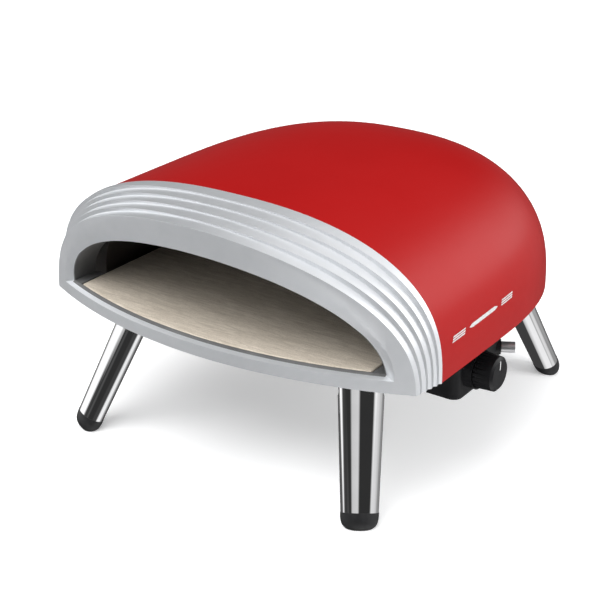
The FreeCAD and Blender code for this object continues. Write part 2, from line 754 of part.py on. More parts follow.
def make_housing():
    outer, inner = housing_block(0.0), housing_block(dim("housing_wall"))
    y, height = back("knob_back"), dim("knob_height")
    boss = Part.makeCylinder(dim("inlet_radius") + 2.2, dim("inlet_neck") - 0.5)
    boss.Placement = inlet_place(0.0)
    hole = Part.makeCylinder(dim("inlet_radius") - 0.2, 60)
    hole.Placement = inlet_place(0.0)
    stem_hole = Part.makeCylinder(6, 20, Vector(176, y, height), X_AXIS)
    ears = []
    ear_z = dim("pan_bottom") - 3.2
    for x, inside in HOUSING_SCREWS:
        at = Vector(x, back("housing_front_back") + inside, ear_z)
        ears.append(Part.makeCylinder(5, 3, at).cut(Part.makeCylinder(1.7, 3, at)))
    ledge = Part.makeBox(40, 120, 2.0, Vector(dim("pan_half_width") - 1, y - 50, ear_z + 1))
    parts = [boss.cut(inner), ledge.common(outer)] + ears
    shape = outer.cut(inner).fuse(parts).cut([hole, stem_hole])
    node("control_housing", feature("ControlHousing", shape.removeSplitter()))

    axis = ("border_y + knob_back", "knob_height")
    ring = cylinder("CollarRing", "collar_radius", "collar_length", ("housing_right",) + axis, ALONG_X)
    well = cylinder("CollarWell", "collar_bore", "collar_length", ("housing_right + 1.5",) + axis,
                    ALONG_X)
    hole = cylinder("CollarHole", "6", "collar_length", ("housing_right - 1",) + axis, ALONG_X)
    node("knob_collar", cut("KnobCollar", ring, [well, hole]))


def make_knob():
    axis = ("border_y + knob_back", "knob_height")
    chamfer = 2.2
    base_x = "knob_face - knob_length"
    skirt = cone("KnobSkirt", "knob_base_radius", "knob_face_radius",
                 "knob_length - %g" % chamfer, (base_x,) + axis, ALONG_X)
    face = cone("KnobFace", "knob_face_radius", "knob_face_radius - 2.6", chamfer,
                ("knob_face - %g" % chamfer,) + axis, ALONG_X)
    blank = fuse("KnobBlank", [skirt, face])
    cavity = cylinder("KnobCavity", "knob_face_radius - 3", "knob_length - 4",
                      ("knob_face - knob_length - 1",) + axis, ALONG_X)
    flutes = []
    for index in range(int(dim("knob_flutes"))):
        angle = 360.0 * index / dim("knob_flutes")
        offset = "(knob_base_radius + 0.35)"
        at = ("knob_face - knob_length - 1", axis[0] + " + %s * cos(%g deg)" % (offset, angle),
              axis[1] + " + %s * sin(%g deg)" % (offset, angle))
        flutes.append(cylinder("Flute%d" % index, "1.15", "knob_length - 1.6", at, ALONG_X))
    shell = cut("KnobShell", blank, [cavity] + flutes)
    hub = cylinder("KnobHub", "7.5", "knob_length - 4", (base_x,) + axis, ALONG_X)
    bore = cylinder("KnobBore", "stem_radius", "knob_length - 6.5", (base_x,) + axis, ALONG_X)
    slot = box("PointerSlot", ("1", "1.6", "9"),
               ("knob_face - 0.5", axis[0] + " - 0.8", axis[1] + " + 4.5"))
    knob = cut("ControlKnob", fuse("KnobWithHub", [shell, hub]), [bore, slot])
    node("control_knob", knob)
    pointer = box("Pointer", ("0.5", "1.6", "9"),
                  ("knob_face - 0.5", axis[0] + " - 0.8", axis[1] + " + 4.5"))
    node("knob_pointer", pointer)


# ---- ignition -----------------------------------------------------------------------------------

def make_ignition():
    y = back("burner_back") - 1
    tip_z = dim("burner_height") + 4
    rod = Part.makeCylinder(2.6, 26, Vector(60, y, dim("tray_bottom") - 4))
    collar = Part.makeCylinder(4.5, 3, Vector(60, y, dim("tray_bottom") + dim("tray_thick")))
    wire = round_bar([Vector(60, y, 158), Vector(60, y, 164), Vector(60, y - 13.5, 168),
                      Vector(60, y - 14.5, tip_z)], 0.8, (2, 2))
    node("spark_electrode", feature("SparkElectrode", rod.fuse([collar, wire])))

    rod = Part.makeCylinder(1.8, 26, Vector(40, y, dim("tray_bottom") - 4))
    collar = Part.makeCylinder(4.5, 3, Vector(40, y, dim("tray_bottom") + dim("tray_thick")))
    wire = round_bar([Vector(40, y, 158), Vector(40, y, 164), Vector(40, y - 13.5, 168),
                      Vector(40, y - 14.5, tip_z)], 1.2, (2, 2))
    node("thermocouple", feature("Thermocouple", rod.fuse([collar, wire])))

    height = 129.0
    start = Vector(dim("feed_x"), back("knob_back") + 30, 100)
    corner = Vector(dim("feed_x"), back("knob_back") + 30, height)
    turn = Vector(60, back("knob_back") + 75, height)
    below = Vector(60, y, height)
    top = Vector(60, y, dim("tray_bottom") - 4)
    lead = round_bar([start, corner, turn, below, top], 1.3, (8, 20, 8))
    node("ignition_lead", feature("IgnitionLead", lead))
    igniter = cylinder("PiezoIgniter", "6", "14", ("feed_x", "border_y + knob_back + 30", 86))
    node("piezo_igniter", igniter)


# ---- legs ---------------------------------------------------------------------------------------

def ellipse_wire(width, thick, z):
    """An oval across the leg: wide along local Y, thin along local X."""
    curve = Part.Ellipse(Vector(0, width / 2, z), Vector(thick / 2, 0, z), Vector(0, 0, z))
    return Part.Wire(curve.toShape())


def leg_sizes(length, z):
    """Width and thickness of the leg at a height above (or below) its pin."""
    share = -z / length
    width = dim("leg_top_width") + share * (dim("leg_end_width") - dim("leg_top_width"))
    thick = dim("leg_top_thick") + share * (dim("leg_end_thick") - dim("leg_top_thick"))
    return width, thick


def leg_tube(length, wall):
    top, bottom = 18.0, dim("foot_cap") - length
    wires = []
    for z in (bottom, top):
        width, thick = leg_sizes(length, z)
        wires.append(ellipse_wire(width - 2 * wall, thick - 2 * wall, z))
    return Part.makeLoft(wires, True, True)


def leg_shape(length):
    """The leg in its own frame: pin along Y at the origin, foot along -Z, outward side at +X."""
    tube = leg_tube(length, 0.0)
    round_top = dim("leg_top_thick") / 2
    knuckle = Part.makeCylinder(round_top, 60, Vector(0, -30, 0), Y_AXIS)
    below = Part.makeBox(60, 60, length, Vector(-30, -30, -length))
    outer = tube.common(knuckle.fuse(below))
    hollow = leg_tube(length, dim("leg_wall"))
    web_bottom = -dim("tongue_reach") - 10
    core = Part.makeBox(60, 60, 60, Vector(-30, -30, web_bottom))
    outer = outer.cut(hollow.cut(core))
    slot_width = dim("leg_slot")
    slot_side = 8.4
    slot = Part.makeBox(60, slot_width, 60, Vector(slot_side - 60, -slot_width / 2, web_bottom + 5))
    head = Part.makeCylinder(dim("eye_radius") + 0.6, slot_width, Vector(0, -slot_width / 2, 0), Y_AXIS)
    pin_radius = dim("leg_pin_radius") + dim("fit_gap")
    pin_hole = Part.makeCylinder(pin_radius, 60, Vector(0, -30, 0), Y_AXIS)
    return outer.cut([slot, head, pin_hole])


def foot_shape(length):
    """The rubber cap: it closes the tube's end and narrows towards the floor."""
    cap = dim("foot_cap")
    z = cap - length
    width, thick = leg_sizes(length, z)
    wires = []
    for drop, pull in ((0.0, 0.0), (0.45, 0.4), (0.8, 2.2), (1.0, 5.0), (1.6, 12.0)):
        wires.append(ellipse_wire(width + 0.6 - 2 * pull, thick + 0.6 - 2 * pull, z - drop * cap))
    bulb = Part.makeLoft(wires, True, False)
    plug_width, plug_thick = leg_sizes(length, z)
    wall = dim("leg_wall") + 0.3
    stub = Part.makeLoft([ellipse_wire(plug_width - 2 * wall, plug_thick - 2 * wall, z - 2),
                          ellipse_wire(plug_width - 2 * wall, plug_thick - 2 * wall, z + 9)],
                         True, True)
    return bulb.fuse(stub)


LEG_CORNERS = {
    "front_left": (-1, -1),
    "front_right": (1, -1),
    "rear_left": (-1, 1),
    "rear_right": (1, 1),
}


def leg_frame(side, end):
    """Where the leg's pin is, which way the leg leans, and how long the leg is."""
    height = dim("hinge_height")
    foot_y = back("foot_front_back") if end < 0 else back("foot_rear_back")
    foot = Vector(side * dim("foot_x"), foot_y, 0)
    pin = foot + Vector(-side * dim("leg_lean_x") * height, -end * dim("leg_lean_y") * height, height)
    lean = math.hypot(dim("leg_lean_x"), dim("leg_lean_y"))
    yaw = math.degrees(math.atan2(end * dim("leg_lean_y"), side * dim("leg_lean_x")))
    level = Rotation(Z_AXIS, yaw)
    tilted = level.multiply(Rotation(Y_AXIS, -math.degrees(math.atan(lean))))
    return pin, level, tilted, height * math.hypot(1, lean)


def make_legs():
    for corner, (side, end) in LEG_CORNERS.items():
        pin, level, tilted, length = leg_frame(side, end)
        name = corner.title().replace("_", "")
        leg = feature("Leg" + name, leg_shape(length))
        leg.Placement = FreeCAD.Placement(pin, tilted)
        node("leg_" + corner, leg)

        foot_local = foot_shape(length)
        foot_local.Placement = FreeCAD.Placement(pin, tilted)
        floor = Part.makeBox(200, 200, 60, pin - Vector(100, 100, pin.z + 60))
        node("foot_" + corner, feature("Foot" + name, foot_local.cut(floor)))

        bracket = feature("LegBracket" + name, leg_bracket())
        bracket.Placement = FreeCAD.Placement(pin, level)
        node("leg_bracket_" + corner, bracket)

        half_pin = dim("leg_top_width") / 2 - 3
        rod = doc.addObject("Part::Cylinder", "LegPin" + name)
        bind(rod, "Radius", "leg_pin_radius")
        bind(rod, "Height", "leg_top_width - 6")
        start = pin - level.multVec(Vector(0, half_pin, 0))
        rod.Placement = FreeCAD.Placement(start, level.multiply(ALONG_Y))
        node("leg_pin_" + corner, rod)


def leg_bracket():
    """The tongue that the leg's fork straddles, under its screwed plate, level, pin at origin."""
    rise = dim("pan_bottom") - dim("hinge_height")
    thick, half = dim("plate_thick"), dim("tongue_thick") / 2
    reach = dim("tongue_reach")
    outline = [(2, -19), (-7, -28.5), (-40, -28.5), (-40, 28.5), (-7, 28.5), (2, 19), (2, -19)]
    corners = [Vector(x, y, rise - thick) for x, y in outline]
    plate = Part.Face(Part.makePolygon(corners)).extrude(Vector(0, 0, thick))
    fin = Part.makeBox(reach, 2 * half, rise + 2, Vector(-reach, -half, -2))
    eye = Part.makeCylinder(dim("eye_radius"), 2 * half, Vector(0, -half, 0), Y_AXIS)
    hole = Part.makeCylinder(dim("leg_pin_radius"), 60, Vector(0, -30, 0), Y_AXIS)
    screw_holes = [Part.makeCylinder(2.1, 10, Vector(x, y, rise - 6)) for x, y in BRACKET_SCREWS]
    return plate.fuse([fin, eye]).cut([hole] + screw_holes)


# ---- fasteners ----------------------------------------------------------------------------------

BRACKET_SCREWS = ((-33, -24.8), (-33, 24.8), (-11, -24.8), (-11, 24.8))
HOUSING_SCREWS = ((129.5, 6.5), (129.5, 82.5), (160, 6.5), (160, 82.5))


def pan_head_screw(radius, length, head_radius, head_height):
    """A screw pointing up from its head's underside at the origin."""
    rim = head_height * 0.4
    head = Part.makeCylinder(head_radius, rim, Vector(0, 0, -rim))
    crown = Part.makeCone(head_radius * 0.6, head_radius, head_height - rim, Vector(0, 0, -head_height))
    head = head.fuse(crown)
    shank = Part.makeCylinder(radius, length)
    recess = Part.makeCylinder(head_radius * 0.4, head_height * 0.5, Vector(0, 0, -head_height))
    return head.fuse(shank).cut(recess)


def screw_group(label, screw, placements):
    copies = []
    for placement in placements:
        copy = screw.copy()
        copy.Placement = placement
        copies.append(copy)
    name = label.title().replace("_", "")
    node(label, feature(name, Part.makeCompound(copies)))


def bracket_screw_places():
    places = []
    drop = dim("pan_bottom") - dim("plate_thick") - dim("hinge_height")
    for side, end in LEG_CORNERS.values():
        pin, level = leg_frame(side, end)[:2]
        for x, y in BRACKET_SCREWS:
            at = pin + level.multVec(Vector(x, y, drop))
            places.append(FreeCAD.Placement(at, UPRIGHT))
    return places


def pan_screw_places():
    places = []
    for side in (-1, 1):
        for offset in (30, 75, 120):
            at = Vector(side * 203.5, dim("border_y") + offset, dim("shell_base") - dim("pan_wall"))
            places.append(FreeCAD.Placement(at, UPRIGHT))
    return places


def housing_screw_places():
    places = []
    for x, inside in HOUSING_SCREWS:
        at = Vector(x, back("housing_front_back") + inside, dim("pan_bottom") - 3.2)
        places.append(FreeCAD.Placement(at, UPRIGHT))
    return places


def make_screws():
    screw_group("bracket_screws", pan_head_screw(2.0, 6.5, 3.2, 2.0), bracket_screw_places())
    screw_group("pan_screws", pan_head_screw(1.8, 6.0, 3.4, 2.0), pan_screw_places())
    screw_group("housing_screws", pan_head_screw(1.6, 6.5, 3.2, 2.0), housing_screw_places())


def check_and_export():
    doc.recompute()
    os.makedirs("parts", exist_ok=True)
    failed = [obj.Name for obj in doc.Objects if "Invalid" in obj.State or "Error" in obj.State]
    if failed:
        raise RuntimeError("objects that failed: " + ", ".join(failed))
    for obj in NODES:
        if obj.Shape.isNull() or not obj.Shape.isValid() or not obj.Shape.Solids:
            raise RuntimeError("no valid solid in " + obj.Label)
    for obj in NODES:
        obj.Shape.exportStep("parts/%s.step" % obj.Label)
        box_of = obj.Shape.BoundBox
        print("%-24s %2d solid(s) x %7.1f..%7.1f y %7.1f..%7.1f z %7.1f..%7.1f vol %9.0f" % (
            obj.Label, len(obj.Shape.Solids), box_of.XMin, box_of.XMax, box_of.YMin, box_of.YMax,
            box_of.ZMin, box_of.ZMax, obj.Shape.Volume))


fill_sheet()
make_outer_shell()
make_front_bezel()
make_bezel_gasket()
make_base_pan()
make_chamber()
make_stone()
make_tray()
make_burner()
make_gas_path()
make_inlet()
make_housing()
make_knob()
make_ignition()
make_legs()
make_screws()
check_and_export()
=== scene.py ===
import json
import math

import bmesh
import bpy
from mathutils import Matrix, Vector
from mathutils.bvhtree import BVHTree


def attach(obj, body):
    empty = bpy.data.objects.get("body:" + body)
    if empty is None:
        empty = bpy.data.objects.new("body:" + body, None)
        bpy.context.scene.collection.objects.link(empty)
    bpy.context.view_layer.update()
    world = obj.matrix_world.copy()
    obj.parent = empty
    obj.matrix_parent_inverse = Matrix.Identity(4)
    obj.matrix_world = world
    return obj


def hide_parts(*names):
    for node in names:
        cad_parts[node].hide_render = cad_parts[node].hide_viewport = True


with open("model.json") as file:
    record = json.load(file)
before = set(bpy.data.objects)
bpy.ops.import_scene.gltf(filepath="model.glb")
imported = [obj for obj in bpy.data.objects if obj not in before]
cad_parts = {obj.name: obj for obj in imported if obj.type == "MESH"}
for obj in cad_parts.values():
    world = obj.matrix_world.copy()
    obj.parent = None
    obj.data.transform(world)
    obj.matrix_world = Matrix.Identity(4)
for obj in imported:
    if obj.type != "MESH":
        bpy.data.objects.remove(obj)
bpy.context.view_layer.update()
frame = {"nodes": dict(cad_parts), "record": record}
NODES = frame["nodes"]
SCENE = bpy.context.scene
MM = 0.001

# The camera: where it stands, its turn in degrees and its lens.
CAMERA_AT, CAMERA_TURN = (0.7428, -1.1077, 0.7077), (65.974, 0.0, 34.823)
LENS, SENSOR_WIDTH = 87.01, 36.0

# The floor: half its side, how pale it is and how much it glows.
FLOOR_HALF, FLOOR_PALE, FLOOR_GLOW = 9.0, (0.92, 0.92, 0.92), 0.30

# The lamps: place, the point that each faces, width and height, and power in watts.
LAMPS = {
    "overhead": ((-0.35, -1.0, 2.3), (0, 0, 0.15), (2.8, 2.4), 78),
    "right_box": ((2.1, 0.5, 1.0), (0.1, 0, 0.16), (1.3, 1.2), 32),
    "front_fill": ((-0.9, -2.2, 1.1), (0, -0.1, 0.15), (1.6, 1.0), 6),
}

# What glossy surfaces reflect: how bright the room is at each bearing, in degrees from +X towards +Y,
# in five layers from the floor up.
UNDER_LAYER = [
    (-180, 0.05), (-118, 0.05), (-105, 0.5), (-60, 0.9), (30, 0.9), (60, 0.3), (90, 0.05), (180, 0.05)]
LOW_LAYER = [
    (-180, 0.10), (-132, 0.10), (-118, 0.04), (-10, 0.06), (5, 0.75), (25, 0.7), (40, 0.30),
    (75, 0.25), (95, 0.08), (150, 0.08), (180, 0.10)]
LEVEL_LAYER = [
    (-180, 1.15), (-148, 1.1), (-137, 0.06), (-122, 0.04), (-112, 0.09), (-100, 0.03), (-10, 0.03),
    (0, 0.75), (20, 0.7), (32, 0.55), (75, 0.45), (95, 0.1), (150, 0.1), (165, 0.9), (180, 1.15)]
UPPER_LAYER = [
    (-180, 1.1), (-132, 1.15), (-125, 0.03), (-98, 0.03), (-91, 0.60), (-66, 0.66), (-59, 0.03),
    (-8, 0.03), (0, 0.8), (14, 1.3), (40, 2.0), (72, 2.1), (92, 0.2), (100, 0.02), (158, 0.02),
    (168, 0.7), (180, 1.1)]
TOP_LAYER = [(-180, 0.65), (180, 0.65)]

# Each layer above the lowest, with the heights of the direction between which it takes over.
LAYERS = [(LOW_LAYER, -0.60, -0.50), (LEVEL_LAYER, -0.24, -0.14), (UPPER_LAYER, 0.12, 0.21),
          (TOP_LAYER, 0.62, 0.72)]

# The light that dull surfaces get from the room, and what the camera sees behind the floor.
SOFT_COLOR, SOFT_STRENGTH, BACKDROP = (0.96, 0.98, 1.0), 0.52, (1, 1, 1)

# Finishes: the part of a noise's range that gloss uses, and how much finer its patches are than the
# clouds of colour.
NOISE_LOW, NOISE_HIGH, PATCH_FINENESS = 0.25, 0.75, 2.3

# The baking stone: tones, scale, stretch and depth of its streaks, and tones and scale of its specks.
STREAK_TONES, STREAK_SCALE = ((0.54, 0.47, 0.385), (0.76, 0.68, 0.575)), 42.0
STREAK_STRETCH, STREAK_DEPTH = (1.0, 7.0, 7.0), 0.6 * MM
SPECK_TONES, SPECK_SCALE = ((0.80, 0.79, 0.77), (1.0, 1.0, 1.0)), 900.0
STONE_ROUGHNESS = (0.78, 0.95)

# The legs: on which side and end each stands, the middle of each foot, the height of the hinge pins,
# how far a leg leans for each metre up, and its oval's width and thickness at the pin and at the foot.
LEGS = {"front_left": (-1, -1), "front_right": (1, -1), "rear_left": (-1, 1), "rear_right": (1, 1)}
FOOT_X, FRONT_FOOT_Y, REAR_FOOT_Y = 0.1628, -0.1819, 0.1985
HINGE_Z, LEAN_X, LEAN_Y = 0.1078, 0.278, 0.43
LEG_TOP, LEG_END = (0.042, 0.028), (0.033, 0.0246)

# Meshes taken from the frame: points this close are one point, and folds over these angles are edges.
MERGE = 0.01 * MM
BEZEL_CREASE, BEZEL_ROUNDED, LEG_CREASE = math.radians(22), math.radians(24), math.radians(35)
BEZEL_EDGE = 0.16 * MM

# A point is on a leg's oval side within this share, and a face is that side's if it faces its way.
OVAL_TOLERANCE, SAME_SIDE = 0.03, 0.8

# The marks on the shell's right side: how far each stands out and reaches in, and its strips.
MARK_LIFT, MARK_SINK = 0.10 * MM, -0.15 * MM
MARK_STEPS, MARK_STRIPS = 28, 3
BESIDE_SHELL_X = 0.3

# The marks' own sizes in millimetres, along Y and Z.
STRIPE_LENGTH, STRIPE_HEIGHT, STRIPE_SLANT, STRIPE_RISE = 21.5, 1.15, 0.8, 0.4
STRIPE_COUNT, STRIPE_PITCH, STRIPE_STAGGER = 3, 1.9, 1.0
FRONT_STRIPES, REAR_STRIPES = (-118.5, 170.6), (-29.5, 172.6)
PLATE_START, PLATE_END, PLATE_MIDDLE, PLATE_HALF, PLATE_RISE = -88.0, -36.0, 173.6, 1.7, 1.0
PLATE_POINT_SHARE, PLATE_POINT_LEAST = 0.10, 0.05


# ---- camera -------------------------------------------------------------------------------------

def make_camera():
    data = bpy.data.cameras.new("camera")
    data.sensor_width = SENSOR_WIDTH
    data.lens = LENS
    camera = bpy.data.objects.new("camera", data)
    camera.location = CAMERA_AT
    camera.rotation_euler = [math.radians(turn) for turn in CAMERA_TURN]
    SCENE.collection.objects.link(camera)
    SCENE.camera = camera


# ---- studio -------------------------------------------------------------------------------------

def make_floor():
    """A pale floor that glows a little, so that it stays almost white under the oven."""
    mesh = bpy.data.meshes.new("floor")
    corners = [(x * FLOOR_HALF, y * FLOOR_HALF, 0) for x, y in ((-1, -1), (1, -1), (1, 1), (-1, 1))]
    mesh.from_pydata(corners, [], [(0, 1, 2, 3)])
    floor = bpy.data.objects.new("floor", mesh)
    SCENE.collection.objects.link(floor)
    material, shader = new_material("floor_pale", FLOOR_PALE, 0.9)
    shader.inputs["Specular IOR Level"].default_value = 0.0
    shader.inputs["Emission Color"].default_value = (1, 1, 1, 1)
    shader.inputs["Emission Strength"].default_value = FLOOR_GLOW
    mesh.materials.append(material)
    floor.visible_glossy = False


def area_light(name, at, target, size, power):
    """A rectangular lamp that lights the oven and doesn't show in its reflections."""
    data = bpy.data.lights.new(name, "AREA")
    data.shape = "RECTANGLE"
    data.size, data.size_y = size
    data.energy = power
    lamp = bpy.data.objects.new(name, data)
    lamp.location = at
    lamp.rotation_euler = (Vector(target) - Vector(at)).to_track_quat("-Z", "Y").to_euler()
    lamp.visible_glossy = False
    SCENE.collection.objects.link(lamp)


def wall_ramp(tree, bearing, stops):
    """How bright the room is all the way round: stops are pairs of a bearing in degrees and a level."""
    node = tree.nodes.new("ShaderNodeValToRGB")
    ramp = node.color_ramp.elements
    while len(ramp) > 1:
        ramp.remove(ramp[-1])
    for index, (degrees, level) in enumerate(stops):
        place = (degrees + 180) / 360
        stop = ramp[0] if index == 0 else ramp.new(place)
        stop.position = place
        stop.color = (level, level, level, 1)
    tree.links.new(bearing, node.inputs[0])
    return node.outputs[0]


def blend_by_height(tree, height, low, high, below, above):
    """Goes from one layer to the next as the direction's height passes from low to high."""
    share = tree.nodes.new("ShaderNodeMapRange")
    share.inputs["From Min"].default_value = low
    share.inputs["From Max"].default_value = high
    tree.links.new(height, share.inputs["Value"])
    mix = tree.nodes.new("ShaderNodeMixRGB")
    tree.links.new(share.outputs[0], mix.inputs[0])
    tree.links.new(below, mix.inputs[1])
    tree.links.new(above, mix.inputs[2])
    return mix.outputs[0]


def background(tree, color=(1, 1, 1)):
    """An even backdrop in one colour, unless something is linked to it."""
    node = tree.nodes.new("ShaderNodeBackground")
    node.inputs["Color"].default_value = (*color, 1)
    return node


def choose_shader(tree, share, otherwise, chosen):
    """The chosen shader where share is 1, and the other where it is 0."""
    node = tree.nodes.new("ShaderNodeMixShader")
    tree.links.new(share, node.inputs[0])
    tree.links.new(otherwise.outputs[0], node.inputs[1])
    tree.links.new(chosen.outputs[0], node.inputs[2])
    return node


def reflected_room(tree):
    """The layers round the room, each taking over from the one below it."""
    add = tree.nodes.new
    link = tree.links.new
    coords = add("ShaderNodeTexCoord")
    split = add("ShaderNodeSeparateXYZ")
    link(coords.outputs["Generated"], split.inputs[0])
    turn = add("ShaderNodeMath")
    turn.operation = "ARCTAN2"
    link(split.outputs["Y"], turn.inputs[0])
    link(split.outputs["X"], turn.inputs[1])
    bearing = add("ShaderNodeMapRange")
    bearing.inputs["From Min"].default_value = -math.pi
    bearing.inputs["From Max"].default_value = math.pi
    link(turn.outputs[0], bearing.inputs["Value"])
    room = wall_ramp(tree, bearing.outputs[0], UNDER_LAYER)
    for stops, low, high in LAYERS:
        layer = wall_ramp(tree, bearing.outputs[0], stops)
        room = blend_by_height(tree, split.outputs["Z"], low, high, room, layer)
    return room


def make_world():
    """An even pale room for dull surfaces, and softboxes between dark walls for glossy ones."""
    world = bpy.data.worlds.new("studio")
    SCENE.world = world
    world.use_nodes = True
    tree = world.node_tree
    tree.nodes.clear()
    glossy = background(tree)
    tree.links.new(reflected_room(tree), glossy.inputs["Color"])
    soft = background(tree, SOFT_COLOR)
    soft.inputs["Strength"].default_value = SOFT_STRENGTH
    path = tree.nodes.new("ShaderNodeLightPath")
    lit = choose_shader(tree, path.outputs["Is Glossy Ray"], soft, glossy)
    seen = choose_shader(tree, path.outputs["Is Camera Ray"], lit, background(tree, BACKDROP))
    output = tree.nodes.new("ShaderNodeOutputWorld")
    tree.links.new(seen.outputs[0], output.inputs["Surface"])


def make_view():
    """Shows the colours as they are, with no film look."""
    SCENE.view_settings.view_transform = "Standard"
    SCENE.view_settings.look = "None"
    SCENE.view_settings.exposure = 0.0


# ---- materials ----------------------------------------------------------------------------------

def new_material(name, color, roughness, metallic=0.0):
    material = bpy.data.materials.new(name)
    material.use_nodes = True
    tree = material.node_tree
    shader = tree.nodes["Principled BSDF"]
    shader.inputs["Base Color"].default_value = (*color, 1)
    shader.inputs["Roughness"].default_value = roughness
    shader.inputs["Metallic"].default_value = metallic
    return material, shader


def object_coords(tree, scale=(1, 1, 1)):
    coords = tree.nodes.new("ShaderNodeTexCoord")
    mapping = tree.nodes.new("ShaderNodeMapping")
    mapping.inputs["Scale"].default_value = scale
    tree.links.new(coords.outputs["Object"], mapping.inputs["Vector"])
    return mapping.outputs["Vector"]


def noise(tree, vector, scale, detail=3.0, rough=0.5, distortion=0.0):
    node = tree.nodes.new("ShaderNodeTexNoise")
    node.inputs["Scale"].default_value = scale
    node.inputs["Detail"].default_value = detail
    node.inputs["Roughness"].default_value = rough
    node.inputs["Distortion"].default_value = distortion
    tree.links.new(vector, node.inputs["Vector"])
    return node.outputs["Fac"]


def ramp_color(tree, value, low, high, start=0.3, end=0.7):
    node = tree.nodes.new("ShaderNodeValToRGB")
    node.color_ramp.elements[0].position = start
    node.color_ramp.elements[0].color = (*low, 1)
    node.color_ramp.elements[1].position = end
    node.color_ramp.elements[1].color = (*high, 1)
    tree.links.new(value, node.inputs[0])
    return node.outputs[0]


def ramp_value(tree, value, low, high):
    node = tree.nodes.new("ShaderNodeMapRange")
    node.inputs["From Min"].default_value = NOISE_LOW
    node.inputs["From Max"].default_value = NOISE_HIGH
    node.inputs["To Min"].default_value = low
    node.inputs["To Max"].default_value = high
    tree.links.new(value, node.inputs["Value"])
    return node.outputs[0]


def bump(tree, shader, value, strength, depth):
    node = tree.nodes.new("ShaderNodeBump")
    node.inputs["Strength"].default_value = strength
    node.inputs["Distance"].default_value = depth
    tree.links.new(value, node.inputs["Height"])
    tree.links.new(node.outputs[0], shader.inputs["Normal"])


def finish_of(name, low, high, roughness, metallic=0.0, scale=40.0, stretch=(1, 1, 1), grain=400.0,
              depth=0.0001, strength=0.2, specular=None):
    """A finish with cloudy colour between two tones, uneven gloss and a fine grain, if it has a depth."""
    material, shader = new_material(name, low, roughness[0], metallic)
    tree = material.node_tree
    vector = object_coords(tree, stretch)
    cloud = noise(tree, vector, scale, 4.0)
    tree.links.new(ramp_color(tree, cloud, low, high), shader.inputs["Base Color"])
    patches = noise(tree, vector, scale * PATCH_FINENESS, 3.0)
    tree.links.new(ramp_value(tree, patches, *roughness), shader.inputs["Roughness"])
    if depth > 0:
        bump(tree, shader, noise(tree, vector, grain, 2.0), strength, depth)
    if specular is not None:
        shader.inputs["Specular IOR Level"].default_value = specular
    return material


def stone_material():
    """Beige fired stone: fine wavy streaks across the oven, speckles and a slightly pitted surface."""
    material, shader = new_material("stone", (0.46, 0.41, 0.34), 0.85)
    tree = material.node_tree
    wavy = object_coords(tree, STREAK_STRETCH)
    streaks = noise(tree, wavy, STREAK_SCALE, detail=5.0, rough=0.62, distortion=0.9)
    color = ramp_color(tree, streaks, *STREAK_TONES)
    specks = noise(tree, object_coords(tree), SPECK_SCALE, detail=2.0)
    tint = ramp_color(tree, specks, *SPECK_TONES, end=0.55)
    mix = tree.nodes.new("ShaderNodeMixRGB")
    mix.blend_type = "MULTIPLY"
    mix.inputs[0].default_value = 1.0
    tree.links.new(color, mix.inputs[1])
    tree.links.new(tint, mix.inputs[2])
    tree.links.new(mix.outputs[0], shader.inputs["Base Color"])
    tree.links.new(ramp_value(tree, specks, *STONE_ROUGHNESS), shader.inputs["Roughness"])
    bump(tree, shader, streaks, 0.35, STREAK_DEPTH)
    return material


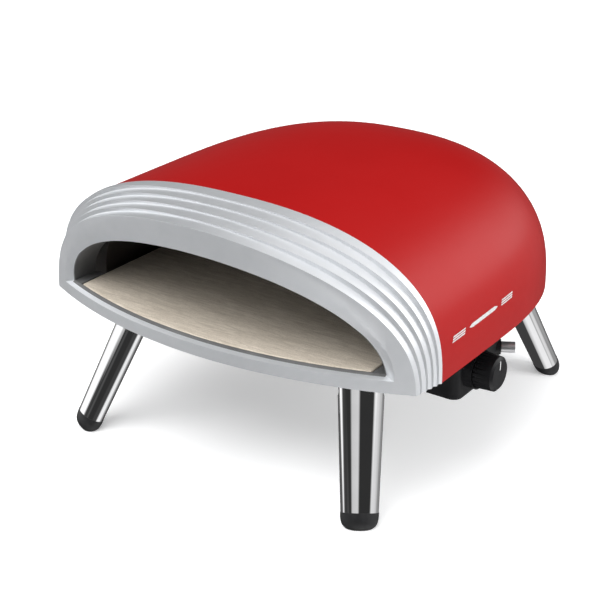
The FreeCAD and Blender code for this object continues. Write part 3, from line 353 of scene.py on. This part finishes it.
# The looks, by material slot: two tones, the range of roughness, and what else sets each apart.
FINISHES = {
    "red_enamel": dict(
        low=(0.300, 0.0026, 0.0026), high=(0.315, 0.0031, 0.0031), roughness=(0.34, 0.38),
        scale=9.0, grain=1500.0, depth=0.00001, specular=0.33),
    "silver_casting": dict(
        low=(0.85, 0.87, 0.895), high=(0.885, 0.90, 0.925), roughness=(0.29, 0.34), metallic=0.72,
        scale=60.0, grain=1400.0, depth=0.000004, strength=0.15),
    "black_steel": dict(
        low=(0.008, 0.008, 0.009), high=(0.013, 0.013, 0.014), roughness=(0.38, 0.5),
        scale=30.0, grain=1800.0, depth=0.00003, strength=0.4, specular=0.3),
    "dark_steel": dict(
        low=(0.10, 0.092, 0.085), high=(0.18, 0.165, 0.15), roughness=(0.28, 0.42), metallic=0.9,
        scale=7.0, stretch=(1, 1, 3), grain=900.0, depth=0.00003),
    "steel": dict(
        low=(0.50, 0.50, 0.51), high=(0.62, 0.62, 0.63), roughness=(0.22, 0.34), metallic=1.0,
        scale=50.0, stretch=(1, 1, 12), grain=700.0, depth=0.00002),
    "fibre": dict(
        low=(0.72, 0.71, 0.67), high=(0.84, 0.83, 0.80), roughness=(0.92, 0.98),
        scale=60.0, grain=500.0, depth=0.0006, strength=0.6),
    "gasket": dict(
        low=(0.02, 0.02, 0.02), high=(0.045, 0.045, 0.045), roughness=(0.8, 0.9),
        scale=300.0, grain=900.0, depth=0.0003, strength=0.6),
    "chrome": dict(
        low=(0.90, 0.90, 0.91), high=(0.95, 0.95, 0.96), roughness=(0.02, 0.045), metallic=1.0,
        scale=40.0, depth=0.0),
    "black_rubber": dict(
        low=(0.010, 0.010, 0.011), high=(0.018, 0.018, 0.019), roughness=(0.5, 0.62),
        scale=120.0, grain=1500.0, depth=0.00006, strength=0.5),
    "brass": dict(
        low=(0.62, 0.42, 0.16), high=(0.78, 0.56, 0.25), roughness=(0.24, 0.36), metallic=1.0,
        scale=60.0, grain=900.0, depth=0.00002),
    "black_plastic": dict(
        low=(0.006, 0.006, 0.007), high=(0.010, 0.010, 0.011), roughness=(0.30, 0.38),
        scale=90.0, grain=2200.0, depth=0.00003, strength=0.35, specular=0.35),
    "pointer_white": dict(
        low=(0.46, 0.46, 0.46), high=(0.56, 0.56, 0.56), roughness=(0.4, 0.5),
        scale=200.0, grain=1200.0, depth=0.00002),
    "ceramic": dict(
        low=(0.80, 0.79, 0.74), high=(0.88, 0.87, 0.83), roughness=(0.12, 0.2),
        scale=80.0, grain=500.0, depth=0.00002),
    "nickel": dict(
        low=(0.70, 0.70, 0.71), high=(0.80, 0.80, 0.81), roughness=(0.34, 0.42), metallic=0.9,
        scale=90.0, stretch=(1, 1, 6), grain=900.0, depth=0.00001, strength=0.1),
    "wire_black": dict(
        low=(0.015, 0.015, 0.016), high=(0.03, 0.03, 0.03), roughness=(0.5, 0.6),
        scale=200.0, grain=900.0, depth=0.00003),
}
# The mouth's lining: a dark grey that is partly the lining's own enamel and partly painted shade of the
# mouth's inside.
SLEEVE_ENAMEL_AND_SHADE = dict(low=(0.10, 0.10, 0.10), high=(0.15, 0.15, 0.15), roughness=(0.35, 0.5), scale=30.0)


def make_materials():
    made = {slot: finish_of(slot, **look) for slot, look in FINISHES.items()}
    made["stone"] = stone_material()
    return made


def paint_nodes(materials):
    """Gives each node its slot's material, and the mouth's lining a dark grey of its own, partly its
    enamel and partly painted shade from inside the mouth.
    """
    slot_of = {entry["node"]: entry["material_slot"] for entry in frame["record"]["subparts"]}
    for name, obj in NODES.items():
        obj.data.materials.clear()
        obj.data.materials.append(materials[slot_of[name]])
    # The lining's dark grey is partly painted shade, darker than its enamel would be.
    NODES["mouth_sleeve"].data.materials[0] = finish_of("sleeve_enamel_and_shade", **SLEEVE_ENAMEL_AND_SHADE)


# ---- detail pieces ------------------------------------------------------------------------------

def new_piece(name, mesh, material):
    mesh.materials.clear()
    mesh.materials.append(material)
    piece = bpy.data.objects.new(name, mesh)
    SCENE.collection.objects.link(piece)
    return piece


def smooth_copy(node, name, crease, drop_slivers=False):
    """A copy of a node's mesh with its points merged, smooth but for the edges over the crease angle."""
    mesh = NODES[node].data.copy()
    mesh.name = name
    work = bmesh.new()
    work.from_mesh(mesh)
    bmesh.ops.remove_doubles(work, verts=work.verts, dist=MERGE)
    if drop_slivers:
        bmesh.ops.dissolve_degenerate(work, edges=work.edges, dist=MERGE)
    work.to_mesh(mesh)
    work.free()
    mesh.shade_smooth()
    mesh.set_sharp_from_angle(angle=crease)
    return mesh


def make_bezel_casting(material):
    """The front casting with its bands' edges kept crisp and slightly rounded."""
    mesh = smooth_copy("front_bezel", "bezel_casting", BEZEL_CREASE, drop_slivers=True)
    piece = new_piece("bezel_casting", mesh, material)
    edge = piece.modifiers.new("edge", "BEVEL")
    edge.limit_method = "ANGLE"
    edge.angle_limit = BEZEL_ROUNDED
    edge.width = BEZEL_EDGE
    edge.segments = 2
    even = piece.modifiers.new("even", "WEIGHTED_NORMAL")
    even.keep_sharp = True
    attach(piece, "root")
    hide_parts("front_bezel")


def leg_place(side, end):
    """Where the leg's pin is, the leg's own axes (thickness, width, up) and its length."""
    foot = Vector((side * FOOT_X, FRONT_FOOT_Y if end < 0 else REAR_FOOT_Y, 0))
    pin = foot + Vector((-side * LEAN_X * HINGE_Z, -end * LEAN_Y * HINGE_Z, HINGE_Z))
    up = (pin - foot).normalized()
    outward = Vector((side * LEAN_X, end * LEAN_Y, 0)).normalized()
    width_axis = Vector((0, 0, 1)).cross(outward).normalized()
    thick_axis = width_axis.cross(up).normalized()
    return pin, (thick_axis, width_axis, up), (pin - foot).length


def oval_normal(reach, axes, length):
    """The true normal at a point of a leg's tapered oval side, or None if the point isn't on it."""
    thick_axis, width_axis, up = axes
    across, along, high = reach.dot(thick_axis), reach.dot(width_axis), reach.dot(up)
    slope_thick = (LEG_TOP[1] - LEG_END[1]) / 2 / length
    slope_width = (LEG_TOP[0] - LEG_END[0]) / 2 / length
    thick = LEG_TOP[1] / 2 + slope_thick * high
    width = LEG_TOP[0] / 2 + slope_width * high
    if abs((across / thick) ** 2 + (along / width) ** 2 - 1) > OVAL_TOLERANCE:
        return None
    rise = -(across ** 2 * slope_thick / thick ** 3 + along ** 2 * slope_width / width ** 3)
    normal = across / thick ** 2 * thick_axis + along / width ** 2 * width_axis + rise * up
    return normal.normalized()


def make_leg(corner, side, end, material):
    """A leg whose tapered oval sides have their true smooth normals, so that reflections run straight."""
    node = "leg_" + corner
    mesh = smooth_copy(node, "chromed_" + node, LEG_CREASE)
    pin, axes, length = leg_place(side, end)
    normals = [corner_normal.vector.copy() for corner_normal in mesh.corner_normals]
    for face in mesh.polygons:
        for loop in face.loop_indices:
            point = mesh.vertices[mesh.loops[loop].vertex_index].co
            smooth = oval_normal(point - pin, axes, length)
            if smooth is not None and smooth.dot(face.normal) > SAME_SIDE:
                normals[loop] = smooth
    mesh.normals_split_custom_set(normals)
    piece = new_piece("chromed_" + node, mesh, material)
    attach(piece, node)
    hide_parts(node)


def shell_side():
    """A tree for finding the shell's right-hand surface."""
    mesh = NODES["outer_shell"].data
    points = [vertex.co.copy() for vertex in mesh.vertices]
    return BVHTree.FromPolygons(points, [tuple(face.vertices) for face in mesh.polygons])


def mark_faces(steps, strips):
    """The faces of a thin slab: a grid of points, the same grid below it, and the rim between them."""
    row = strips + 1
    under = (steps + 1) * row
    faces = []
    for index in range(steps):
        for part in range(strips):
            at = index * row + part
            faces.append((at, at + row, at + row + 1, at + 1))
            faces.append((under + at, under + at + 1, under + at + row + 1, under + at + row))
    rim = [index * row for index in range(steps + 1)]
    rim += [steps * row + part for part in range(1, row)]
    rim += [index * row + strips for index in range(steps - 1, -1, -1)]
    rim += list(range(strips - 1, 0, -1))
    for at, after in zip(rim, rim[1:] + rim[:1]):
        faces.append((at, under + at, under + after, after))
    return faces


def side_mark(name, material, tree, outline):
    """A thin printed mark on the shell's right side. outline(share) gives its low and high point."""
    grid = []
    for index in range(MARK_STEPS + 1):
        low, high = outline(index / MARK_STEPS)
        for part in range(MARK_STRIPS + 1):
            grid.append([a + (b - a) * part / MARK_STRIPS for a, b in zip(low, high)])
    points = []
    for offset in (MARK_LIFT, MARK_SINK):
        for y, z in grid:
            hit = tree.ray_cast(Vector((BESIDE_SHELL_X, y, z)), Vector((-1, 0, 0)))[0]
            points.append((hit.x + offset, y, z))
    mesh = bpy.data.meshes.new(name)
    mesh.from_pydata(points, [], mark_faces(MARK_STEPS, MARK_STRIPS))
    mesh.validate()
    piece = new_piece(name, mesh, material)
    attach(piece, "root")


def stripe_outline(start, low):
    def outline(share):
        y = start + STRIPE_LENGTH * share
        z = low + STRIPE_RISE * share
        return (y * MM, z * MM), ((y + STRIPE_SLANT) * MM, (z + STRIPE_HEIGHT) * MM)
    return outline


def plate_outline(share):
    """A slim plate whose ends come to a point."""
    y = PLATE_START + (PLATE_END - PLATE_START) * share
    z = PLATE_MIDDLE + PLATE_RISE * share
    from_end = min(share, 1 - share)
    reach = PLATE_HALF * min(1.0, PLATE_POINT_LEAST + from_end / PLATE_POINT_SHARE)
    return (y * MM, (z - reach) * MM), (y * MM, (z + reach) * MM)


def make_side_marks(material):
    """Plain ornament on the right side: three stripes, a slim plate with pointed ends, three stripes."""
    tree = shell_side()
    for index in range(STRIPE_COUNT):
        for where, (start, low) in (("front", FRONT_STRIPES), ("rear", REAR_STRIPES)):
            outline = stripe_outline(start + STRIPE_STAGGER * index, low + STRIPE_PITCH * index)
            side_mark(f"side_stripe_{where}_{index}", material, tree, outline)
    side_mark("side_plate", material, tree, plate_outline)


make_camera()
make_floor()
make_world()
for lamp_name, lamp in LAMPS.items():
    area_light(lamp_name, *lamp)
make_view()
MATERIALS = make_materials()
paint_nodes(MATERIALS)
make_bezel_casting(MATERIALS["silver_casting"])
for place, (side, end) in LEGS.items():
    make_leg(place, side, end, MATERIALS["chrome"])
make_side_marks(MATERIALS["pointer_white"])
